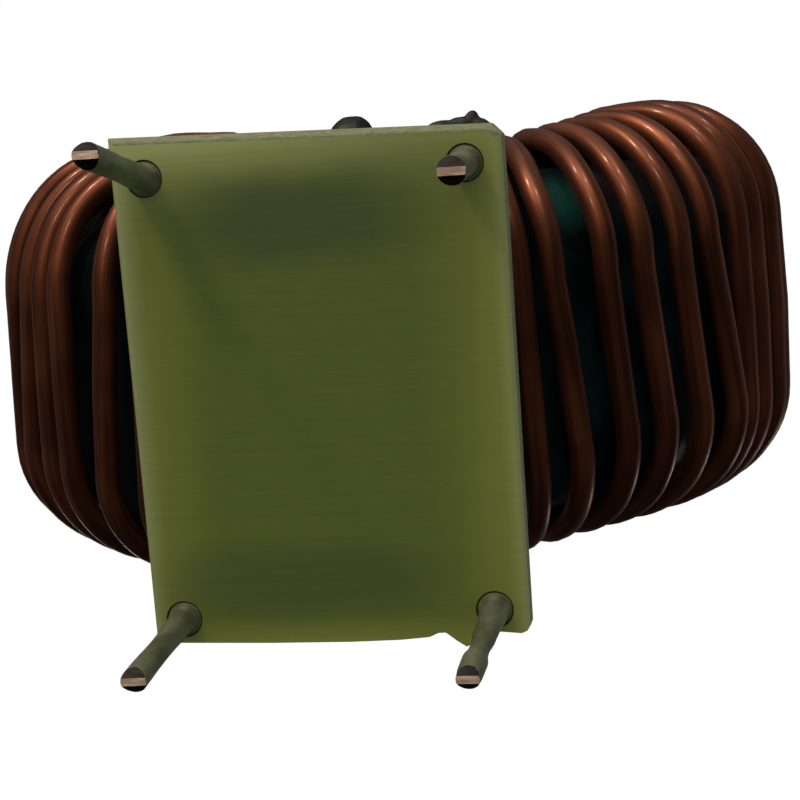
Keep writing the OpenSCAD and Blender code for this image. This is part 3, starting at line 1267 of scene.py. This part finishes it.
@dataclass(frozen=True)
class Board:
    """The drilled board that carries the ring."""

    width: float = 18.3
    front: float = 12.33
    back: float = 11.9
    thick: float = 1.6
    skew: float = 0.55
    flare: float = 0.38
    score: float = 0.36
    score_profile: float = 0.45
    clip: float = 0.5
    hole_d: float = 1.76
    hole_seam: float = 0.06
    drill_sides: int = 64
    edge_bevel: float = 0.04
    bevel_above: float = 40.0
    straight: float = 0.5
    wall_facing: float = 0.9
    edge_facing: float = 0.3
    front_facing: float = -0.2

    snapped: tuple[tuple[float, float], ...] = (
        (-9.15, 11.76), (-6.9, 11.81), (-3.4, 11.9), (0.5, 11.94), (2.9, 11.9), (4.3, 11.8),
        (4.75, 11.61), (5.1, 11.6), (5.6, 12.0), (6.05, 12.3), (6.3, 12.22), (6.6, 11.9),
        (7.2, 11.76), (7.7, 11.62), (8.7, 11.72), (8.98, 11.6), (9.15, 11.35),
    )

    def blank(self) -> bpy.types.Object:
        """Shapes the board's outline.

        It is out of square at the front, where one corner stands out and the other is clipped.

        Returns:
            The board without its holes.
        """
        deselect()
        bpy.ops.mesh.primitive_cube_add(size=1)
        piece = bpy.context.object
        piece.name = "laminate_board"
        piece.scale = (self.width, self.front + self.back, self.thick)
        piece.location = (0, (self.back - self.front) / 2, self.thick / 2)
        bpy.ops.object.transform_apply(location=True, rotation=True, scale=True)
        bpy.ops.object.mode_set(mode="EDIT")
        for x, _ in self.snapped[1:-1]:
            bpy.ops.mesh.select_all(action="SELECT")
            bpy.ops.mesh.bisect(plane_co=(x, 0, 0), plane_no=(1, 0, 0))
        bpy.ops.object.mode_set(mode="OBJECT")
        for vertex in piece.data.vertices:
            if vertex.co.y < 0:
                vertex.co.y += self.skew * vertex.co.x / self.width
                vertex.co.x -= self.flare * (vertex.co.x < NEAR - self.width / 2)
            else:
                nearest = min(self.snapped, key=lambda knot: abs(knot[0] - vertex.co.x))
                vertex.co.y = nearest[1]
        bpy.ops.object.mode_set(mode="EDIT")
        bpy.ops.mesh.select_all(action="SELECT")
        bpy.ops.mesh.dissolve_limited(angle_limit=math.radians(self.straight))
        pick(piece, Element.EDGE, self.clipped)
        bpy.ops.mesh.bevel(offset=self.clip, segments=1, affect="EDGES")
        pick(piece, Element.EDGE, self.scored)
        bpy.ops.mesh.bevel(
            offset=self.score, segments=3, profile=self.score_profile, affect="EDGES"
        )
        bpy.ops.object.mode_set(mode="OBJECT")
        return piece

    def clipped(self, a: Vector, b: Vector) -> bool:
        """Whether an edge of the plain board, from its ends, is the upright one that is clipped."""
        at_right = min(a.x, b.x) > self.width / 2 - NEAR
        return at_right and max(a.y, b.y) < 0 and abs(a.z - b.z) > self.thick / 2

    def scored(self, a: Vector, b: Vector) -> bool:
        """Tells whether an edge of the plain board was scored.

        The rims of its flat faces were, but for the back ones.

        Args:
            a: One of the edge's ends.
            b: The other.

        Returns:
            Whether it was.
        """
        level, at_front = abs(a.z - b.z) < NEAR, max(a.y, b.y) < -self.front / 2
        at_side = min(abs(a.x), abs(b.x)) > self.width / 2 - NEAR
        return level and (at_front or at_side)

    def drill(self, piece: bpy.types.Object, holes: Sequence[Vector]) -> None:
        """Drills the four holes, and takes the sharpness off every edge.

        Args:
            piece: The board.
            holes: The holes' middles.
        """
        for hole in holes:
            deselect()
            bpy.ops.mesh.primitive_cylinder_add(
                vertices=self.drill_sides,
                radius=self.hole_d / 2,
                depth=4 * self.thick,
                location=hole,
            )
            drill = bpy.context.object
            apply_modifier(piece, "BOOLEAN", object=drill, operation="DIFFERENCE", solver="EXACT")
            bpy.data.objects.remove(drill)
        apply_modifier(
            piece,
            "BEVEL",
            width=self.edge_bevel,
            segments=2,
            limit_method="ANGLE",
            angle_limit=math.radians(self.bevel_above),
        )
        focus(piece)
        bpy.ops.object.shade_smooth()
        apply_modifier(piece, "WEIGHTED_NORMAL", weight=100)

    def mark_edges(self, piece: bpy.types.Object, holes: Sequence[Vector]) -> None:
        """Gives the broken edges and the holes' walls their own materials.

        Args:
            piece: The board.
            holes: The holes' middles.
        """
        for face in piece.data.polygons:
            reach = min((face.center.xy - hole.xy).length for hole in holes)
            level = abs(face.normal.z)
            if reach < self.hole_d / 2 + self.hole_seam and level < self.wall_facing:
                # The holes' walls get the darker recess finish: painted shade.
                face.material_index = BoardSkin.HOLE
            elif level < self.edge_facing or face.normal.y < self.front_facing:
                face.material_index = BoardSkin.EDGE

    def build(self, pins: PinSet, finishes: Sequence[bpy.types.Material]) -> None:
        """Makes the board, and puts it in the node's place.

        Args:
            pins: The pins that go through its holes.
            finishes: What BoardSkin lists.
        """
        holes = [pins.hole(corner) for corner in PIN_PLACES]
        piece = self.blank()
        self.drill(piece, holes)
        self.mark_edges(piece, holes)
        settle(piece, finishes, "base_plate")


# The glue


@dataclass(frozen=True)
class Blob:
    """One lump of glue: its middle and its half sizes."""

    middle: Point
    half: Point


@dataclass(frozen=True)
class Glue:
    """Black glue pressed between the board and the ring."""

    board_top: float = 1.6
    gap: float = 0.002
    voxel: float = 0.14
    knobs: tuple[tuple[float, float], ...] = ((0.8, 0.12), (2.4, 0.05))
    shrink: float = 0.06
    smoothing: int = 6
    beads: dict[str, tuple[Blob, ...]] = field(
        default_factory=lambda: {
            "glue_front": (
                Blob((-1.9, -8.5, 3.0), (1.5, 1.7, 1.9)),
                Blob((0.2, -8.7, 3.1), (2.1, 1.8, 1.8)),
                Blob((1.6, -8.6, 3.0), (1.2, 1.6, 1.7)),
                Blob((1.3, -10.4, 4.0), (1.25, 1.5, 1.3)),
                Blob((1.5, -11.7, 4.2), (1.2, 1.3, 1.25)),
                Blob((0.8, -11.2, 4.6), (0.9, 1.2, 0.9)),
            ),
            "glue_back": (
                Blob((-2.4, 8.4, 3.0), (1.5, 1.7, 1.8)),
                Blob((-0.6, 8.5, 3.1), (1.8, 1.8, 1.8)),
                Blob((1.2, 8.5, 3.0), (1.6, 1.7, 1.75)),
            ),
            "glue_corner": (
                Blob((6.2, -12.0, 2.0), (0.85, 0.42, 0.42)),
                Blob((7.1, -12.03, 2.05), (0.85, 0.46, 0.48)),
                Blob((7.9, -11.95, 2.05), (0.6, 0.48, 0.48)),
                Blob((7.6, -12.3, 2.15), (0.36, 0.5, 0.42)),
            ),
        }
    )

    def bead(self, node: str, blobs: Sequence[Blob]) -> bpy.types.Object:
        """Runs lumps together into one bead that lies flat on the board.

        Args:
            node: The node that the bead stands for.
            blobs: Its lumps.

        Returns:
            The bead.
        """
        lumps = []
        for blob in blobs:
            deselect()
            bpy.ops.mesh.primitive_ico_sphere_add(
                subdivisions=4, radius=1, location=blob.middle, scale=blob.half
            )
            lumps.append(bpy.context.object)
        focus(lumps[0])
        for lump in lumps:
            lump.select_set(True)
        bpy.ops.object.join()
        piece = bpy.context.object
        piece.name = f"{node}_bead"
        bpy.ops.object.transform_apply(location=True, rotation=True, scale=True)
        fine = self.voxel / 2 if node == "glue_corner" else self.voxel
        apply_modifier(piece, "REMESH", mode="VOXEL", voxel_size=fine)
        for vertex in piece.data.vertices:
            swell = sum(noise.noise(vertex.co * scale) * depth for scale, depth in self.knobs)
            vertex.co += vertex.normal * (swell - self.shrink)
        apply_modifier(piece, "SMOOTH", factor=0.5, iterations=self.smoothing)
        for vertex in piece.data.vertices:
            vertex.co.z = max(vertex.co.z, self.board_top + self.gap)
        focus(piece)
        bpy.ops.object.shade_smooth()
        return piece

    def build(self, finish: bpy.types.Material) -> None:
        """Makes the beads, and puts them in the nodes' place."""
        for node, blobs in self.beads.items():
            settle(self.bead(node, blobs), [finish], node)


# The studio


@dataclass(frozen=True)
class Lamp:
    """A soft lamp: where it stands, its size and how bright it is."""

    name: str
    at: Point
    size: float
    watts: float
    colour: Colour = WHITE
    narrow: float = 0.0


@dataclass(frozen=True)
class Studio:
    """Camera, lamps, surroundings and floor."""

    camera_at: Point = (17.526, -9.863, -82.216)
    camera_turn: Point = (7.026, 9.577, -3.829)
    lens: float = 81.0
    sensor: float = 36.0
    sight: tuple[float, float] = (0.005, 10.0)
    aim: Point = (0.0, 0.0, 20.0)
    floor_z: float = -9.6
    floor_size: float = 1200.0
    floor_tone: Colour = (0.8, 0.8, 0.79)
    floor_rough: float = 0.9
    ambient: float = 0.45
    soft_sky: tuple[Sky, ...] = (("Y", 0.3, -1.0, 0.75), ("Z", 0.2, -1.0, 0.13))
    gloss_level: float = 0.013
    gloss_sky: tuple[Sky, ...] = (
        ("Z", 0.1, 0.95, 0.06),
        ("Y", -0.3, -1.0, 0.2),
        ("X", -0.5, -1.0, 0.04),
    )
    lamps: tuple[Lamp, ...] = (
        Lamp("left_key", (-118, -222, -23), 20, 0.26, WARM),
        Lamp("right_key", (30, -246, -63), 18, 0.13, WARM),
        Lamp("low_key", (-56, -165, -165), 30, 0.1, WARM),
        Lamp("overhead", (-40, -250, -40), 240, 0.15),
        Lamp("left_strip", (-215, 0, -120), 260, 0.0048, narrow=30),
        Lamp("right_strip", (220, 0, 130), 260, 0.008, narrow=36),
        Lamp("rear_left", (-150, 120, 200), 60, 0.03),
        Lamp("rear_right", (160, 130, 180), 60, 0.03),
    )

    def camera(self) -> None:
        """Puts the camera below the board, looking up at it."""
        tilt, sweep, roll = (
            Matrix.Rotation(math.radians(angle), 3, axis)
            for angle, axis in zip(self.camera_turn, "XYZ")
        )
        turn = (roll @ tilt @ sweep).transposed() @ Matrix.Diagonal((1, -1, -1))
        data = bpy.data.cameras.new("camera")
        data.lens, data.sensor_width = self.lens, self.sensor
        data.clip_start, data.clip_end = self.sight
        camera = bpy.data.objects.new("camera", data)
        camera.matrix_world = Matrix.Translation(Vector(self.camera_at) * MM) @ turn.to_4x4()
        bpy.context.collection.objects.link(camera)
        bpy.context.scene.camera = camera

    def light(self) -> None:
        """Hangs the lamps round the object."""
        for lamp in self.lamps:
            data = bpy.data.lights.new(lamp.name, "AREA")
            data.shape = "ELLIPSE" if lamp.narrow else "DISK"
            data.size, data.size_y = lamp.size * MM, lamp.narrow * MM
            data.energy, data.color = lamp.watts, lamp.colour
            piece = bpy.data.objects.new(lamp.name, data)
            piece.visible_camera = False
            at = Vector(lamp.at)
            piece.location = at * MM
            piece.rotation_euler = (Vector(self.aim) - at).to_track_quat("-Z", "Y").to_euler()
            bpy.context.collection.objects.link(piece)

    def surroundings(self) -> None:
        """Fills the world with a light that differs by the kind of ray.

        The camera sees a white backdrop. Gloss sees a dim sky that is brighter above, in front and
        at the left. All other rays meet an even light that is brighter in front and below.
        """
        world = bpy.data.worlds.new("studio")
        bpy.context.scene.world = world
        nodes = Nodes(world, "Background")
        nodes.join(WHITE, "Color")
        path = nodes.add("LightPath")
        strength = self.brightness(nodes, self.ambient, self.soft_sky)
        gloss = self.brightness(nodes, self.gloss_level, self.gloss_sky)
        for ray, seen in (("Is Glossy Ray", gloss), ("Is Camera Ray", 1.0)):
            inputs = {"Factor": path.outputs[ray], "A": strength, "B": seen}
            strength = nodes.add("Mix", inputs).outputs["Result"]
        nodes.join(strength, "Strength")

    def brightness(self, nodes: Nodes, level: float, sky: Sequence[Sky]) -> Value:
        """How bright the surroundings are, by the direction that is looked in.

        Args:
            nodes: The world's nodes.
            level: The brightness all round.
            sky: What is added: an axis, where on it the rise starts and ends, and how much it adds.

        Returns:
            The brightness.
        """
        split = nodes.add("SeparateXYZ", {0: nodes.add("TexCoord").outputs["Generated"]})
        total: Value = level
        for axis, start, end, strength in sky:
            total = nodes.sum("ADD", nodes.ramp(split.outputs[axis], start, end, strength), total)
        return total

    def floor(self) -> None:
        """Lays a pale floor under the pins, which only the camera sees, and only from above."""
        deselect()
        low = (0, 0, self.floor_z * MM)
        bpy.ops.mesh.primitive_plane_add(size=self.floor_size * MM, location=low)
        floor = bpy.context.object
        floor.name = "floor"
        nodes = Nodes(bpy.data.materials.new("floor"), "Principled BSDF")
        nodes.join(self.floor_tone, "Base Color")
        nodes.set(Roughness=self.floor_rough)
        sight = nodes.add("LightPath").outputs["Is Camera Ray"]
        below = nodes.add("NewGeometry").outputs["Backfacing"]
        above = nodes.sum("SUBTRACT", sight, below, clamp=True)
        clear = nodes.add("BsdfTransparent").outputs[0]
        mix = nodes.add("MixShader", {0: above, 1: clear, 2: nodes.surface.outputs[0]})
        nodes.put(nodes.tree.nodes["Material Output"].inputs["Surface"], mix.outputs[0])
        floor.data.materials.append(nodes.owner)

    def build(self) -> None:
        """Sets up everything that isn't the part."""
        self.camera()
        self.light()
        self.surroundings()
        self.floor()
        bpy.context.scene.view_settings.view_transform = "Standard"


def main() -> None:
    """Builds the sub-assemblies in order, then the studio."""
    logging.basicConfig(level=logging.INFO, format="%(name)s %(message)s")
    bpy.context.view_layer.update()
    pins = PinSet()
    Core().build(Coating().make())
    Winding().build(pins, Enamel().make())
    Board().build(pins, [Laminate().make(), SawnLaminate().make(), RECESS_SHADE.make()])
    pins.build([Tin().make(), STRIP.make(), SLOPE.make(), RECESS_SHADE.make()])
    Glue().build(Rubber().make())
    Studio().build()


if __name__ == "__main__":
    main()
